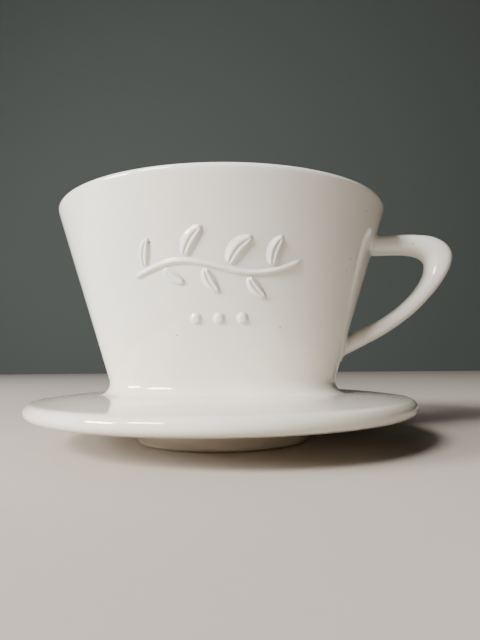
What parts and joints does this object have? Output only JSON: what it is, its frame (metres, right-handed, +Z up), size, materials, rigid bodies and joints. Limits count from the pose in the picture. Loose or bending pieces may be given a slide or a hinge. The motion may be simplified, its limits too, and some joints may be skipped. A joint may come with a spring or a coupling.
{
  "type": "pour-over coffee dripper",
  "caption": "Glazed ceramic pour-over dripper: an oval, tapered filter hopper on a round saucer, with a foot ring that centres it in a cup, a loop handle and a raised sprig.",
  "frame": {"origin": "centre of the foot ring, on the plane the dripper stands on", "axes": "+Z up through the mouth of the hopper, +X towards the handle, -Y towards the decorated front"},
  "size_m": [0.1327, 0.118, 0.072],
  "materials": {
    "glaze": "thick glossy ivory glaze with a few dark pinholes",
    "foot_glaze": "thin cream glaze, wiped off where it stands"
  },
  "bodies": {
    "root": {"back_rib_1": "glaze", "back_rib_2": "glaze", "back_rib_3": "glaze", "back_rib_4": "glaze", "back_rib_5": "glaze", "drain_floor": "glaze", "end_rib_free": "glaze", "end_rib_handle": "glaze", "foot_ring": "foot_glaze", "front_dot_1": "glaze", "front_dot_2": "glaze", "front_dot_3": "glaze", "front_rib_1": "glaze", "front_rib_2": "glaze", "front_rib_3": "glaze", "front_rib_4": "glaze", "front_rib_5": "glaze", "handle_loop": "glaze", "hopper_wall": "glaze", "saucer": "glaze", "sprig_leaf_1": "glaze", "sprig_leaf_2": "glaze", "sprig_leaf_3": "glaze", "sprig_leaf_4": "glaze", "sprig_leaf_5": "glaze", "sprig_leaf_6": "glaze", "sprig_leaf_7": "glaze", "sprig_stem": "glaze"}
  },
  "joints": []
}
